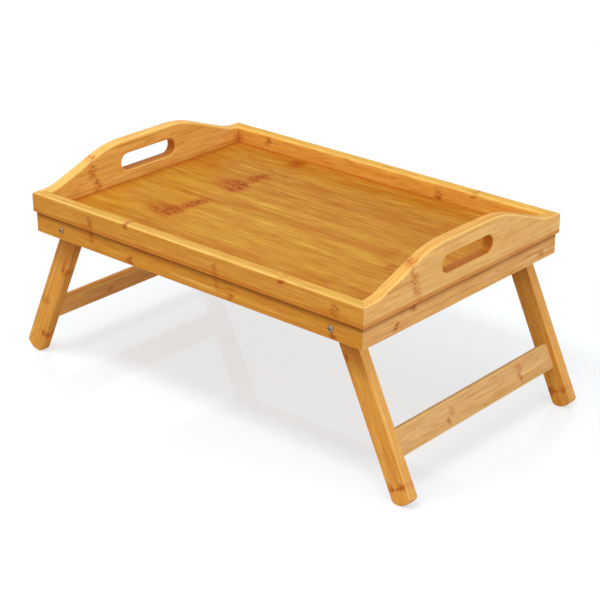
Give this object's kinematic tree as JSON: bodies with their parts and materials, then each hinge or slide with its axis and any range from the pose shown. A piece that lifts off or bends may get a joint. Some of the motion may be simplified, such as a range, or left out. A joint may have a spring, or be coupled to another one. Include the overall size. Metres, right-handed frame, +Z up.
{
  "type": "bed tray table",
  "caption": "Rectangular bamboo bed tray with raised, slotted handle boards and splayed legs that fold flat underneath.",
  "frame": {"origin": "on the surface that the toes stand on, under the middle of the tray", "axes": "+X along the tray's length to the right, +Y to the back, +Z up"},
  "size_m": [0.5994, 0.35, 0.2542],
  "materials": {
    "bamboo": "satin lacquer",
    "bamboo_panel": "satin lacquer",
    "joinery_wood": "raw",
    "nickel_steel": "nickel plated"
  },
  "bodies": {
    "tray": {"front_rail": "bamboo", "back_rail": "bamboo", "left_handle_board": "bamboo", "right_handle_board": "bamboo", "tray_panel": "bamboo_panel", "front_apron": "bamboo", "back_apron": "bamboo", "left_apron": "bamboo", "right_apron": "bamboo", "rail_corner_keys": "joinery_wood", "apron_corner_keys": "joinery_wood", "frame_dowels": "joinery_wood", "front_left_pivot_bolt": "nickel_steel", "front_left_spacer_washer": "nickel_steel", "front_left_inner_washer": "nickel_steel", "front_left_lock_nut": "nickel_steel", "back_left_pivot_bolt": "nickel_steel", "back_left_spacer_washer": "nickel_steel", "back_left_inner_washer": "nickel_steel", "back_left_lock_nut": "nickel_steel", "front_right_pivot_bolt": "nickel_steel", "front_right_spacer_washer": "nickel_steel", "front_right_inner_washer": "nickel_steel", "front_right_lock_nut": "nickel_steel", "back_right_pivot_bolt": "nickel_steel", "back_right_spacer_washer": "nickel_steel", "back_right_inner_washer": "nickel_steel", "back_right_lock_nut": "nickel_steel"},
    "left_leg_pair": {"front_left_leg": "bamboo", "back_left_leg": "bamboo", "left_stretcher": "bamboo", "left_stretcher_dowels": "joinery_wood"},
    "right_leg_pair": {"front_right_leg": "bamboo", "back_right_leg": "bamboo", "right_stretcher": "bamboo", "right_stretcher_dowels": "joinery_wood"}
  },
  "joints": [
    {"name": "left_leg_fold", "type": "hinge", "parent": "tray", "child": "left_leg_pair", "pos_m": [-0.205, 0, 0.18486], "axis": [0, -1, 0], "range_deg": [0, 115]},
    {"name": "right_leg_fold", "type": "hinge", "parent": "tray", "child": "right_leg_pair", "pos_m": [0.205, 0, 0.18486], "axis": [0, 1, 0], "range_deg": [0, 115]}
  ]
}
